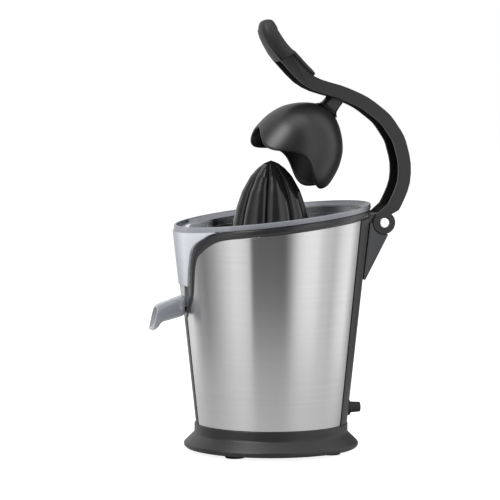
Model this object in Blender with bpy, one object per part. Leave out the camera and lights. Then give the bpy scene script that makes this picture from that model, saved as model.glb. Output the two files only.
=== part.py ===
"""Citrus press juicer: tapered steel-clad motor housing, clear juice bowl with a drip
spout, ribbed reamer, and a hinged lever arm carrying an egg-shaped press hood.

Metres, +Z up, spout towards -X, hinge towards +X.  Every piece is drawn about the drive
axis and hangs from one empty, so the whole outline is centred over the origin."""
import math
import bpy
import bmesh
from mathutils import Matrix, Vector

# ------------------------------------------------------------------ sizes (metres)
GAP = 0.0003             # between pieces that touch
DRIVE_X = -0.0085        # drive axis from the middle of the outline
BODY_R = 0.0656          # body radius carried down to z = 0
BODY_TAPER = 0.107       # growth of the body radius per unit of height
SKIN_T = 0.0008          # steel sheet
SHELL_T = 0.0025         # plastic housing under the steel
BASE_R = BODY_R + 0.0134 # widest ring of the base
BASE_TOP = 0.025         # top of the base lip
COVER_Z = 0.003          # underside of the bottom cover
COVER_T = 0.0025
FOOT_R = 0.009
FOOT_AT = BASE_R - 0.017 # feet from the drive axis
SCREW_AT = BASE_R - 0.025
RIM_Z = 0.214            # rim plane height on the drive axis
RIM_SLOPE = 0.112        # rise of the rim plane towards the hinge
RIM_R = BODY_R + 0.0224  # radius at which the rim plane is read
BEAD_H = 0.005           # clear rim above the trim
TRIM_H = 0.0115          # rim plane down to the foot of the trim
TRIM_OUT = 0.0009        # trim proud of the body
COLUMN_DEG = 3.3         # half width of the front column
BACK_DEG = 38.5          # half width of the back cover
WINDOW_OUT = 0.002       # window of the bowl proud of the body
WINDOW_DEG = 42.0
WINDOW_FOOT = RIM_Z - 0.063  # lower edge of the window at the front
BOWL_T = 0.0022
FLOOR_Z = RIM_Z - 0.0765     # bowl floor on the drive axis
FLOOR_SLOPE = 0.11
CHIMNEY_R = 0.0073       # bore of the bowl chimney
CHIMNEY_TOP = RIM_Z - 0.032
STRAINER_R = BODY_R - 0.0136
CONE_Z = RIM_Z - 0.022   # foot of the reamer
CONE_R = 0.038
CONE_H = 0.070
RIBS = 8
PRESS = 0.0025           # travel of the reamer when fruit is pressed on it
SPOUT_W = 0.022
SPOUT_T = 0.0018
SPOUT_Z = RIM_Z - 0.071
SPOUT_PIVOT = (-(BODY_R + BODY_TAPER * SPOUT_Z + 0.000099), SPOUT_Z)  # on the body
PIVOT_Z = RIM_Z - 0.009
PIVOT = (BODY_R + BODY_TAPER * PIVOT_Z + 0.014465, PIVOT_Z)  # lever hinge, x and z
PIN_R = 0.0045
LUG_R = 0.0085
BOSS_R = 0.0103
ARM_W = 0.030
ARM_WALL = 0.0026
ARM_T = 0.0116
GRIP_W = 0.034
GRIP_T = 0.0050
HOOD_R = 0.042
HOOD_H = 0.059
HOOD_WALL = 0.0025
HOOD_TILT = 38.0
HOOD_AT = (-0.085, 0.0576)  # middle of the hood's rim, from the hinge
LOBE = 0.007
STEM_W = 0.0143
STEM_TOP = 0.0824        # middle of the arm above the hood's rim, along the stem
PLATE_Z = 0.064          # lower gear plate
DECK_Z = 0.092           # upper gear deck
PLATE_T = 0.003
SHAFT_R = 0.0046         # hexagon corner radius of the drive shaft
MODULE_1 = 0.0010        # motor stage
MODULE_2 = 0.00125       # output stage
TEETH = {"motor": 10, "wheel": 30, "pinion": 12, "output": 36}
COUNTER_DEG = 50.0
MOTOR_DEG = 110.0
MOTOR_R = 0.0185

# lower edge of the window opening and foot of the trim: degrees from the front, depth
# below the rim plane on the drive axis
OPENING = [(0, .0875), (6.6, .0823), (11, .0737), (13, .0655), (15, .0535), (18.4, .0414),
           (20, .0314), (25, .0250), (35, .0174), (42, .0118), (60, -.0110)]
TRIM_FOOT = [(0, .0950), (3, .0930), (8, .0860), (14.7, .0784), (18.5, .0690), (20.5, .0570),
             (22.7, .0440), (25, .0380), (29, .0316), (37, .0242), (44, .0198), (60, .0020)]
HALF = [0, 3.3, 6.6, 9, 11, 13, 15, 17, 18.6, 20.4, 22.8, 25, 29, 35, 42, 42.6, 50, 60, 71,
        82, 93, 104, 115, 125, 133, 141.5, 151, 161, 171]
AROUND = HALF + [180] + [360 - a for a in reversed(HALF[1:])]

# middle line of the lever arm from the grip end to the hinge: x and z from the hinge
ARM = [(-.1066, .1750), (-.1050, .1690), (-.0972, .1560), (-.0865, .1440), (-.0740, .1313),
       (-.0605, .1240), (-.0430, .1190), (-.0300, .1140), (-.0180, .1082), (-.0080, .1010),
       (.0010, .0935), (.0080, .0840), (.0130, .0760), (.0160, .0670), (.0190, .0530),
       (.0183, .0370), (.0137, .0240), (.0086, .0140)]


# ------------------------------------------------------------------ helpers
def look(name, colour, metal=0.0, rough=0.5, alpha=1.0):
    """One Principled material."""
    mat = bpy.data.materials.new(name)
    mat.use_nodes = True
    shader = mat.node_tree.nodes["Principled BSDF"]
    shader.inputs["Base Color"].default_value = (*colour, 1.0)
    shader.inputs["Metallic"].default_value = metal
    shader.inputs["Roughness"].default_value = rough
    shader.inputs["Alpha"].default_value = alpha
    return mat


def empty(name, at, parent=None):
    """An empty that carries a body; at is measured from its parent."""
    obj = bpy.data.objects.new(name, None)
    obj.location = at
    obj.parent = parent
    bpy.context.collection.objects.link(obj)
    return obj


def node(name, verts, faces, mat, parent, at=(0, 0, 0)):
    """A closed solid from points and faces, its corners merged and its normals outward.
    Points are given from the drive axis; at is where the parent stands on it."""
    mesh = bpy.data.meshes.new(name)
    mesh.from_pydata([(x - at[0], y - at[1], z - at[2]) for x, y, z in verts], [], faces)
    bm = bmesh.new()
    bm.from_mesh(mesh)
    bmesh.ops.remove_doubles(bm, verts=bm.verts, dist=1e-6)
    bmesh.ops.recalc_face_normals(bm, faces=bm.faces)
    for face in bm.faces:
        face.smooth = True
    for edge in bm.edges:
        edge.smooth = len(edge.link_faces) == 2 and edge.calc_face_angle() < math.radians(34)
    bm.to_mesh(mesh)
    bm.free()
    mesh.materials.append(mat)
    obj = bpy.data.objects.new(name, mesh)
    obj.parent = parent
    obj["stand"] = at
    bpy.context.collection.objects.link(obj)
    return obj


def loft(loops, wrap):
    """Points and faces joining closed loops of equal length; wrap joins last to first,
    otherwise the two end loops are filled."""
    n, count = len(loops[0]), len(loops)
    verts = [p for loop in loops for p in loop]
    faces = []
    for i in range(count if wrap else count - 1):
        a, b = i * n, ((i + 1) % count) * n
        faces += [(a + k, a + (k + 1) % n, b + (k + 1) % n, b + k) for k in range(n)]
    if not wrap:
        faces += [tuple(range(n)), tuple(range((count - 1) * n, count * n))]
    return verts, faces


def polar(deg, r, z):
    """Point at an angle measured from the front of the machine."""
    t = math.radians(deg)
    return (-r * math.cos(t), -r * math.sin(t), z)


def turned(profile, sides, centre=(0, 0)):
    """A closed (radius, height) profile turned about a vertical axis."""
    loops = []
    for i in range(sides):
        loops.append([polar(360 * i / sides, r, z) for r, z in profile])
    verts, faces = loft(loops, True)
    return [(x + centre[0], y + centre[1], z) for x, y, z in verts], faces


def lying(profile, sides, centre, along):
    """A closed (radius, length) profile turned about X or Y through the centre point."""
    verts, faces = turned(profile, sides)
    if along == "Y":
        verts = [(x, z, y) for x, y, z in verts]
    else:
        verts = [(z, y, x) for x, y, z in verts]
    return [tuple(v + c for v, c in zip(p, centre)) for p in verts], faces


def shell(angles, section, wrap):
    """A body lofted round the drive axis from a (radius, height) section per angle."""
    return loft([[polar(a, r, z) for r, z in section(a)] for a in angles], wrap)


def slab(outline, y0, y1):
    """An (x, z) outline given thickness across Y."""
    return loft([[(x, y, z) for x, z in outline] for y in (y0, y1)], False)


def box(x0, x1, y0, y1, z0, z1):
    """A plain block between two corners."""
    return slab([(x0, z0), (x1, z0), (x1, z1), (x0, z1)], y0, y1)


def circle(r, z, count, centre=(0, 0)):
    """A level loop of points."""
    return [(centre[0] + r * math.cos(2 * math.pi * k / count),
             centre[1] + r * math.sin(2 * math.pi * k / count), z) for k in range(count)]


def arc(centre, r, a0, a1, steps):
    """(x, z) points of an arc, angles in degrees from +X towards +Z."""
    out = []
    for k in range(steps + 1):
        t = math.radians(a0 + (a1 - a0) * k / steps)
        out.append((centre[0] + r * math.cos(t), centre[1] + r * math.sin(t)))
    return out


def combine(target, parts, operation, label):
    """Join blocks to a body, or cut them out of it, with exact booleans."""
    for i, (verts, faces) in enumerate(parts):
        tool = node(f"{label}_{i}", verts, faces, target.data.materials[0], target.parent,
                    tuple(target["stand"]))
        tool.hide_render = True
        tool.display_type = 'WIRE'
        mod = target.modifiers.new(f"{label}_{i}", 'BOOLEAN')
        mod.operation = operation
        mod.solver = 'EXACT'
        mod.object = tool
    return target


def between(table, x):
    """Straight-line reading of a table of (x, value) points."""
    for (x0, v0), (x1, v1) in zip(table, table[1:]):
        if x <= x1:
            return v0 + (v1 - v0) * (x - x0) / (x1 - x0)
    return table[-1][1]


def body_r(z):
    """Outer radius of the steel-clad body at a height."""
    return BODY_R + BODY_TAPER * z


def fold(deg):
    """Angle from the front, 0 to 180, either side."""
    deg = deg % 360
    return min(deg, 360 - deg)


def rim(deg):
    """Height of the sloping rim plane at an angle."""
    return RIM_Z - RIM_SLOPE * RIM_R * math.cos(math.radians(deg))


def opening(deg, ease=0.0):
    """Upper edge of the trim: the tulip opening at the front, then just under the rim."""
    return min(RIM_Z - between(OPENING, fold(deg) + ease), rim(deg) - BEAD_H)


def trim_foot(deg, ease=0.0):
    """Lower edge of the trim, where the steel ends."""
    return min(RIM_Z - between(TRIM_FOOT, max(fold(deg) - ease, 0.0)), rim(deg) - TRIM_H)


# depths below the body surface, built up from the steel inwards
SHELL_OUT = SKIN_T + GAP
SHELL_IN = SHELL_OUT + SHELL_T
BOWL_OUT = SHELL_IN + GAP
BOWL_IN = BOWL_OUT + BOWL_T


# ------------------------------------------------------------------ base and body
def base(body, dark, rubber, steel):
    """Skirt, bottom cover, rubber feet and the screws that hold the cover."""
    lip_r = body_r(BASE_TOP) + 0.0012
    in_r = body_r(BASE_TOP) - SHELL_OUT + GAP
    top = [(BASE_R - .0018, COVER_Z), (BASE_R, .0044), (BASE_R, .0068), (BASE_R - .0006, .0076),
           (lip_r + .0006, .0158), (lip_r, .0172), (lip_r, BASE_TOP - .0005),
           (lip_r - .0005, BASE_TOP), (in_r, BASE_TOP), (in_r, .0178),
           (BASE_R - .0035, .0098), (BASE_R - .0035, COVER_Z)]
    node("base_skirt", *turned(top, 56), dark, body)
    r = BASE_R - .0035 - GAP
    foot_z = COVER_Z - GAP
    disc = [(0, COVER_Z), (r, COVER_Z), (r, COVER_Z + COVER_T), (0, COVER_Z + COVER_T)]
    node("bottom_cover", *turned(disc, 48), dark, body)
    foot = [(0, 0), (FOOT_R - .0006, 0), (FOOT_R, .0006), (FOOT_R, foot_z), (0, foot_z)]
    head = [(0, .0021), (.0015, .0021), (.0015, .0012), (.0028, .0012), (.0035, .0018),
            (.0035, foot_z), (0, foot_z)]
    for i, deg in enumerate((45, 135, 225, 315)):
        x, y, _ = polar(deg, FOOT_AT, 0)
        node(f"foot_{i + 1}", *turned(foot, 24, (x, y)), rubber, body)
        x, y, _ = polar(deg + 45, SCREW_AT, 0)
        node(f"cover_screw_{i + 1}", *turned(head, 12, (x, y)), steel, body)


def wall(z0, out, inn, top):
    """Section of a shell that follows the body taper from z0 up to a height."""
    return [(body_r(z0) - out, z0), (body_r(top) - out, top),
            (body_r(top) - inn, top), (body_r(z0) - inn, z0)]


def cladding(body, steel, dark):
    """Inner housing, two steel panels, the front column and the back cover."""
    ease = 0.25
    foot = BASE_TOP + GAP

    def height(deg):
        return trim_foot(deg, ease) - GAP

    node("inner_housing", *shell(AROUND, lambda a: wall(
        COVER_Z + COVER_T + GAP, SHELL_OUT, SHELL_IN, height(a)), True), dark, body)
    back = 180 - BACK_DEG
    gap_deg = math.degrees(GAP / BODY_R)
    side = [COLUMN_DEG + gap_deg] + [a for a in HALF if COLUMN_DEG < a < back - 1] + [back]
    for name, sign in (("left", 1), ("right", -1)):
        node(f"steel_panel_{name}", *shell([sign * a for a in side], lambda a: wall(
            foot, 0, SKIN_T, height(a)), False), steel, body)
    top = height(0)
    column = [(body_r(foot) + .0004, foot), (body_r(top) + .0004, top),
              (body_r(top) - SKIN_T, top), (body_r(foot) - SKIN_T, foot)]
    node("front_column", *shell([-COLUMN_DEG, 0, COLUMN_DEG], lambda a: column, False),
         dark, body)
    rear = [back + gap_deg] + [a for a in HALF if a > back + 1] + [180]
    rear += [360 - a for a in reversed(rear[:-1])]
    node("back_cover", *shell(rear, lambda a: wall(
        foot, -.0005, SKIN_T, height(a)), False), dark, body)


def trim_section(deg):
    """Rounded band from the foot of the trim up to the opening or the rim."""
    low, high = trim_foot(deg), opening(deg)
    b = .0007
    out = [(body_r(low) - SHELL_IN, low), (body_r(low), low),
           (body_r(low) + TRIM_OUT, low + b), (body_r(high) + TRIM_OUT, high - b),
           (body_r(high) + TRIM_OUT - b, high), (body_r(high) - SHELL_IN, high)]
    return out


def bowl_section(deg):
    """Section of the clear bowl: bead, window or plain wall, floor and chimney."""
    top = rim(deg)
    ledge = top - BEAD_H + GAP
    window = fold(deg) <= WINDOW_DEG
    face = -WINDOW_OUT if window else BOWL_OUT
    foot = max(WINDOW_FOOT, opening(deg, 0.25) + GAP) if window else ledge
    foot = min(foot, ledge - .0002)
    step = foot if window else foot - .002
    bead_r = body_r(top) + .0003

    def floor(r):
        return FLOOR_Z - FLOOR_SLOPE * r * math.cos(math.radians(deg))

    low = floor(body_r(FLOOR_Z)) - BOWL_T
    tube = CHIMNEY_R + BOWL_T
    if window:
        inside = [(foot + BOWL_T, BOWL_IN), (foot + BOWL_T + .0003, BOWL_T - WINDOW_OUT),
                  (top - .0022, BOWL_T - WINDOW_OUT)]
    else:
        inside = [(top - .009, BOWL_IN), (ledge + .0004, BOWL_IN), (top - .0012, .0022)]
    section = [(bead_r - .0008, top), (bead_r, top - .0008), (bead_r, ledge),
               (body_r(ledge) - face, ledge - .0001), (body_r(foot) - face, foot),
               (body_r(step) - BOWL_OUT, step), (body_r(low) - BOWL_OUT, low),
               (tube, floor(tube) - BOWL_T), (CHIMNEY_R, floor(tube) - BOWL_T),
               (CHIMNEY_R, CHIMNEY_TOP), (tube, CHIMNEY_TOP), (tube, floor(tube)),
               (body_r(low) - BOWL_IN, low + BOWL_T)]
    section += [(body_r(z) - depth, z) for z, depth in inside]
    section.append((body_r(top) - .0022, top))
    return section


def bowl(body, dark, clear, white):
    """Trim band, clear juice bowl with its outlet, and the strainer on its chimney."""
    node("top_trim", *shell(AROUND, trim_section, True), dark, body)
    cup = node("juice_bowl", *shell(AROUND, bowl_section, True), clear, body)
    px, pz = SPOUT_PIVOT
    tube = box(px - .0008, px + .0060, -.0084, .0084, pz - .0110, pz - .0005)
    hole = box(px - .0050, px + .0110, -.0068, .0068, pz - .0094, pz - .0021)
    combine(cup, [tube], 'UNION', "nozzle")
    combine(cup, [hole], 'DIFFERENCE', "outlet")
    z = CHIMNEY_TOP + GAP
    dish = [(CHIMNEY_R, z), (STRAINER_R, z), (STRAINER_R + .001, z + .001),
            (STRAINER_R + .001, CONE_Z), (STRAINER_R - .001, CONE_Z),
            (STRAINER_R - .001, z + .0022), (CHIMNEY_R, z + .0022)]
    plate = node("strainer", *turned(dish, 48), white, body)
    slots = []
    for i in range(16):
        t = 2 * math.pi * (i + 0.5) / 16
        verts, faces = box(.022, STRAINER_R - .006, -.0014, .0014, z - .002, z + .005)
        turn = Matrix.Rotation(t, 3, 'Z')
        slots.append(([tuple(turn @ Vector(p)) for p in verts], faces))
    merged = ([p for v, _ in slots for p in v],
              [tuple(k + 8 * i for k in f) for i, (_, fs) in enumerate(slots) for f in fs])
    combine(plate, [merged], 'DIFFERENCE', "slots")


# ------------------------------------------------------------------ spout
def arch(y_half, low, high, steps=8):
    """Closed loop of a channel section: flat floor, upright sides, arched roof; points are
    (y, share of the height from floor to crown)."""
    spring = low + (high - low) * 0.58
    loop = [(-y_half + .0012, low), (y_half - .0012, low), (y_half, low + .06), (y_half, spring)]
    for k in range(1, steps):
        t = math.pi * k / steps
        loop.append((y_half * math.cos(t), spring + (high - spring) * math.sin(t)))
    return loop + [(-y_half, spring), (-y_half, low + .06)]


def spout(swing, clear):
    """Open drip spout: a falling arched channel cut back to a pouring beak."""
    crown = [(-.0012, -.0011), (-.0040, -.0019), (-.0140, -.0053), (-.0220, -.0081),
             (-.0242, -.0089), (-.0250, -.0092)]
    sole = [(-.0012, -.0168), (-.0036, -.0192), (-.0140, -.0221), (-.0219, -.0242),
            (-.0252, -.0293), (-.0300, -.0317)]
    px, pz = SPOUT_PIVOT
    outer, inner = [], []
    for (xc, zc), (xs, zs) in zip(crown, sole):
        tall = math.hypot(xc - xs, zc - zs)
        share = SPOUT_T / tall
        for loops, y_half, low, high in ((outer, SPOUT_W / 2, 0.0, 1.0),
                                         (inner, SPOUT_W / 2 - SPOUT_T, share, 1 - share)):
            loops.append([(px + xs + (xc - xs) * s, y, pz + zs + (zc - zs) * s)
                          for y, s in arch(y_half, low, high)])
    verts, faces = loft(outer + inner[::-1], True)
    at = (px, 0, pz)
    node("drip_spout", verts, faces, clear, swing, at)


# ------------------------------------------------------------------ drive
def gear_loop(teeth, module, z, phase, centre, ends=2):
    """Level outline of a spur gear with straight-sided teeth; phase in teeth, ends is the
    number of points along each tip and each root."""
    pitch_r = teeth * module / 2
    shares = [(-.10 + .20 * k / (ends - 1), pitch_r + .85 * module) for k in range(ends)]
    shares += [(.27 + .46 * k / (ends - 1), pitch_r - 1.2 * module) for k in range(ends)]
    out = []
    for i in range(teeth):
        for share, r in shares:
            t = 2 * math.pi * (i + share + phase) / teeth
            out.append((centre[0] + r * math.cos(t), centre[1] + r * math.sin(t), z))
    return out


def plate(name, z, r, holes, mat, body):
    """A round plate with round holes, each (x, y, radius)."""
    disc = [(0, z), (r, z), (r, z + PLATE_T), (0, z + PLATE_T)]
    obj = node(name, *turned(disc, 48), mat, body)
    for i, (x, y, hole) in enumerate(holes):
        cut = loft([circle(hole, z - .002, 24, (x, y)),
                    circle(hole, z + PLATE_T + .002, 24, (x, y))], False)
        combine(obj, [cut], 'DIFFERENCE', f"{name}_hole_{i}")


def axes():
    """Counter shaft and motor positions in plan, from the tooth counts."""
    far = MODULE_2 * (TEETH["pinion"] + TEETH["output"]) / 2
    near = MODULE_1 * (TEETH["motor"] + TEETH["wheel"]) / 2
    a, b = math.radians(COUNTER_DEG), math.radians(MOTOR_DEG)
    counter = (far * math.cos(a), far * math.sin(a))
    return counter, (counter[0] + near * math.cos(b), counter[1] + near * math.sin(b))


def facing(teeth, deg, gap):
    """Phase, in teeth, that puts a tooth (or a gap) at an angle."""
    return (deg / 360 * teeth + (0.5 if gap else 0.0)) % 1.0


def gears(body, out_body, counter_body, motor_body, dark, steel, white, brass):
    """Plates, motor and the two-stage reduction from motor to reamer."""
    counter, motor = axes()
    r_low = body_r(PLATE_Z) - SHELL_IN - 2 * GAP
    r_up = body_r(DECK_Z) - SHELL_IN - 2 * GAP
    bore = SHAFT_R + GAP
    plate("gear_plate", PLATE_Z, r_low, [(0, 0, bore), (*motor, .006)], steel, body)
    plate("gear_deck", DECK_Z, r_up, [(0, 0, bore)], dark, body)
    low, high = PLATE_Z + PLATE_T, DECK_Z
    pin = [(0, low + GAP), (.002, low + GAP), (.002, high - GAP), (0, high - GAP)]
    node("counter_shaft", *turned(pin, 16, counter), steel, body)
    bush = [(bore, high + PLATE_T + GAP), (.012, high + PLATE_T + GAP),
            (.012, high + PLATE_T + .003), (.009, high + PLATE_T + .008),
            (bore, high + PLATE_T + .008)]
    node("shaft_bush", *turned(bush, 24), brass, body)
    can = [(0, .022), (.007, .022), (.0075, .024), (MOTOR_R - .001, .024), (MOTOR_R, .025),
           (MOTOR_R, PLATE_Z - .0025), (MOTOR_R - .001, PLATE_Z - GAP), (0, PLATE_Z - GAP)]
    node("motor_can", *turned(can, 40, motor), steel, body)
    z1, z2 = low + .003, low + .011
    first, wheel, pinion, last = (TEETH[k] for k in ("motor", "wheel", "pinion", "output"))
    mesh = facing(first, MOTOR_DEG + 180, True)
    loops = [circle(.0016, PLATE_Z + .0003, 4 * first, motor),
             circle(.0016, z1, 4 * first, motor),
             gear_loop(first, MODULE_1, z1, mesh, motor),
             gear_loop(first, MODULE_1, z2, mesh, motor)]
    node("motor_pinion", *loft(loops, False), brass, motor_body, (*motor, 0))
    large = facing(wheel, MOTOR_DEG, False)
    small = facing(pinion, COUNTER_DEG + 180, True)
    per_tooth = 2 * wheel // pinion
    rb = .002 + .00005
    loops = [gear_loop(wheel, MODULE_1, z1, large, counter),
             gear_loop(wheel, MODULE_1, z2, large, counter),
             gear_loop(pinion, MODULE_2, z2, small, counter, per_tooth),
             gear_loop(pinion, MODULE_2, high - .0010, small, counter, per_tooth),
             circle(rb, high - .0010, 4 * wheel, counter),
             circle(rb, z1, 4 * wheel, counter)]
    node("counter_gear", *loft(loops, True), white, counter_body, (*counter, 0))
    phase = facing(last, COUNTER_DEG, False)
    z3, z4 = z2 + .0025, z2 + .0105
    ring = [gear_loop(last, MODULE_2, z3, phase, (0, 0)),
            gear_loop(last, MODULE_2, z4, phase, (0, 0)),
            circle(SHAFT_R + .00005, z4, 4 * last), circle(SHAFT_R + .00005, z3, 4 * last)]
    node("output_gear", *loft(ring, True), white, out_body)


def reamer_section(deg):
    """Section of the hollow reamer; its ribs are a wave round the cone."""
    wave = 0.5 + 0.5 * math.cos(math.radians(RIBS * deg))
    out = []
    for share, r in ((0.0, 1.0), (.035, 1.0), (.09, .955), (.23, .905), (.40, .835),
                     (.61, .70), (.80, .50), (.90, .33), (.965, .17)):
        groove = .0045 * (1 - wave) * min(1.0, share / .12) * min(1.0, (1 - share) / .25)
        out.append((CONE_R * r - groove, CONE_Z + CONE_H * share))
    inner = [(0, CONE_Z + .022), (SHAFT_R + .00005, CONE_Z + .022), (SHAFT_R + .00005, CONE_Z + .003),
             (.009, CONE_Z + .003), (.009, CONE_Z + .040), (.013, CONE_Z + .044),
             (CONE_R - .0175, CONE_Z + .034), (CONE_R - .0115, CONE_Z + .018),
             (CONE_R - .0080, CONE_Z + .006), (CONE_R - .0035, CONE_Z)]
    return [(0, CONE_Z + CONE_H)] + out[::-1] + inner[::-1]


def press_parts(body, press_body, switch_body, dark, steel, red):
    """Drive shaft, reamer, return spring and the switch under the shaft."""
    foot = PLATE_Z - .008
    low = PLATE_Z + PLATE_T
    flange = low + .009
    rod = [(0, foot), (SHAFT_R, foot), (SHAFT_R, flange), (.008, flange), (.008, flange + .002),
           (SHAFT_R, flange + .002), (SHAFT_R, CONE_Z + .0215), (0, CONE_Z + .0215)]
    node("drive_shaft", *turned(rod, 6), steel, press_body)
    fine = [360 * k / (RIBS * 6) for k in range(RIBS * 6)]
    node("reamer_cone", *shell(fine, reamer_section, True), dark, press_body)
    coil_r, wire, turns = .0066, .0005, 5
    loops = []
    bottom, top = low + wire + GAP, flange - wire - GAP
    for k in range(turns * 12 + 1):
        t = 2 * math.pi * k / 12
        z = bottom + (top - bottom) * k / (turns * 12)
        loops.append([((coil_r + wire * math.cos(a)) * math.cos(t),
                       (coil_r + wire * math.cos(a)) * math.sin(t), z + wire * math.sin(a))
                      for a in (2 * math.pi * j / 6 for j in range(6))])
    node("return_spring", *loft(loops, False), steel, press_body)
    z = foot - GAP
    tip = [(0, z - .007), (.0016, z - .007), (.0016, z - .001), (.0011, z), (0, z)]
    node("switch_plunger", *turned(tip, 16), red, switch_body)
    rest = z - .007 - PRESS - GAP
    case = node("switch_case", *box(-.0065, .0065, -.0035, .0035, rest - .006, z - .003),
                dark, body)
    well = turned([(0, rest), (.0019, rest), (.0019, z), (0, z)], 16)
    combine(case, [well], 'DIFFERENCE', "well")
    leg = [(-.0300, PLATE_Z - GAP), (-.0300, rest - .0083), (.0065, rest - .0083),
           (.0065, rest - .0063), (-.0280, rest - .0063), (-.0280, PLATE_Z - GAP)]
    node("switch_bracket", *slab(leg, -.004, .004), steel, body)


# ------------------------------------------------------------------ hinge and lever
def bracket(body, dark, steel):
    """Gusset with a central lug and two lower shoulders, and the steel hinge pin."""
    px, pz = PIVOT
    foot_z, top_z = pz - 0.051, pz + 0.0055
    foot_x = body_r(foot_z) + .0005 + GAP
    top_x = body_r(top_z) + .0005 + GAP
    heel = (px + .0058, pz - .0056)
    lug = [(foot_x, foot_z), (foot_x + .002, foot_z - .001), heel]
    lug += arc(PIVOT, LUG_R, -40, 100, 14) + [(top_x + .002, top_z + .0022), (top_x, top_z)]
    cheek = ARM_W / 2 - ARM_WALL - GAP
    body_obj = node("hinge_bracket", *slab(lug, -cheek, cheek), dark, body)
    side = [(foot_x, foot_z + .001), (foot_x + .0018, foot_z + .0002),
            (px + .0038, pz - .0108)]
    side += arc(PIVOT, BOSS_R + .0008, -72, -180, 12) + [(top_x, pz)]
    wings = [slab(side, s * (cheek - .002), s * ARM_W / 2) for s in (-1, 1)]
    combine(body_obj, wings, 'UNION', "wing")
    bore = lying([(0, -.02), (PIN_R + GAP, -.02), (PIN_R + GAP, .02), (0, .02)], 32,
                 (px, 0, pz), "Y")
    combine(body_obj, [bore], 'DIFFERENCE', "bore")
    half = ARM_W / 2 + .0008
    pin = [(0, -half), (PIN_R - .0005, -half), (PIN_R, -half + .0005),
           (PIN_R, half - .0005), (PIN_R - .0005, half), (0, half)]
    node("hinge_pin", *lying(pin, 32, (px, 0, pz), "Y"), steel, body)


def curved(points, steps):
    """Smooth curve through the points: the cubic whose slope at each point is half the
    difference of its neighbours."""
    out = []
    for i in range(len(points) - 1):
        p0, p1, p2 = points[max(i - 1, 0)], points[i], points[i + 1]
        p3 = points[min(i + 2, len(points) - 1)]
        for k in range(steps):
            t = k / steps
            out.append(tuple(0.5 * (2 * b + (c - a) * t + (2 * a - 5 * b + 4 * c - d) * t * t
                                    + (3 * b - a - 3 * c + d) * t ** 3)
                             for a, b, c, d in zip(p0, p1, p2, p3)))
    return out + [points[-1]]


def offsets(path, shift, first=0, last=None):
    """The arm's middle line moved square to itself; positive is away from the bowl."""
    last = len(path) - 1 if last is None else last
    out = []
    for i in range(first, last + 1):
        a, b = path[max(i - 1, 0)], path[min(i + 1, len(path) - 1)]
        dx, dz = b[0] - a[0], b[1] - a[1]
        size = math.hypot(dx, dz)
        out.append((path[i][0] - dz / size * shift, path[i][1] + dx / size * shift))
    return out


def lever(lever_body, dark, soft):
    """Channel arm open towards the bowl, and the soft pad on its grip."""
    half_w, half_t = ARM_W / 2, ARM_T / 2
    line = [(PIVOT[0] + x, PIVOT[1] + z) for x, z in curved(ARM, 2)]
    outer, inner = offsets(line, half_t), offsets(line, -half_t)
    hub = arc(PIVOT, BOSS_R, 48, -228, 20)
    outline = outer + hub + inner[::-1]
    at = (PIVOT[0], 0, PIVOT[1])
    arm = node("lever_arm", *slab(outline, -half_w, half_w), dark, lever_body, at)
    floor = offsets(line, half_t - ARM_WALL)
    deep = offsets(line, -half_t - .004)
    for edge in (floor, deep):
        edge[:2] = [tuple(0.7 * a + 0.3 * b for a, b in zip(edge[1], edge[2]))]
    void = floor + arc(PIVOT, BOSS_R + .0047, 40, -212, 20) + deep[::-1]
    y = half_w - ARM_WALL
    combine(arm, [slab(void, -y, y)], 'DIFFERENCE', "channel")
    bore = lying([(0, -.02), (PIN_R + .00005, -.02), (PIN_R + .00005, .02), (0, .02)], 32,
                 at, "Y")
    combine(arm, [bore], 'DIFFERENCE', "arm_bore")
    gap = half_t + GAP
    end = 9
    lead = [(line[0][0] - d * .21, line[0][1] + d) for d in (.0076, .0066, .0045, GAP * 2.6)]
    path = lead + line
    over = offsets(path, gap + GRIP_T, 0, end + 4)
    under = offsets(path, gap, 3, end + 4)
    sole = offsets(path, -half_t, 0, 3)
    over[0] = tuple(0.55 * a + 0.45 * b for a, b in zip(over[0], sole[0]))
    over[1] = tuple(0.85 * a + 0.15 * b for a, b in zip(over[1], sole[1]))
    sole[0] = tuple(0.70 * a + 0.30 * b for a, b in zip(sole[0], over[0]))
    pad = over[::-1] + sole + under
    node("grip_pad", *slab(pad, -GRIP_W / 2, GRIP_W / 2), soft, lever_body, at)


def hood_profile():
    """Outer and inner (radius, height) lines of the press hood from the rim to the top."""
    outer = [(.9985, .08), (.985, .20), (.955, .34), (.90, .46), (.82, .58), (.705, .69),
             (.565, .79), (.41, .875), (.255, .94), (.12, .985)]
    out = [(HOOD_R * r, HOOD_H * s) for r, s in outer]
    inn = []
    for r, s in outer:
        slope = min(s * 1.05, 1.0)
        inn.append((HOOD_R * r - HOOD_WALL * (1 - slope ** 4 * .82),
                    HOOD_H * s - HOOD_WALL * slope ** 1.6))
    return out, inn


def hood_frame():
    """Turn and place of the hood: its axis leans back over the bowl at rest."""
    return (Matrix.Translation((PIVOT[0] + HOOD_AT[0], 0, PIVOT[1] + HOOD_AT[1]))
            @ Matrix.Rotation(math.radians(HOOD_TILT), 4, 'Y'))


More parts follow.
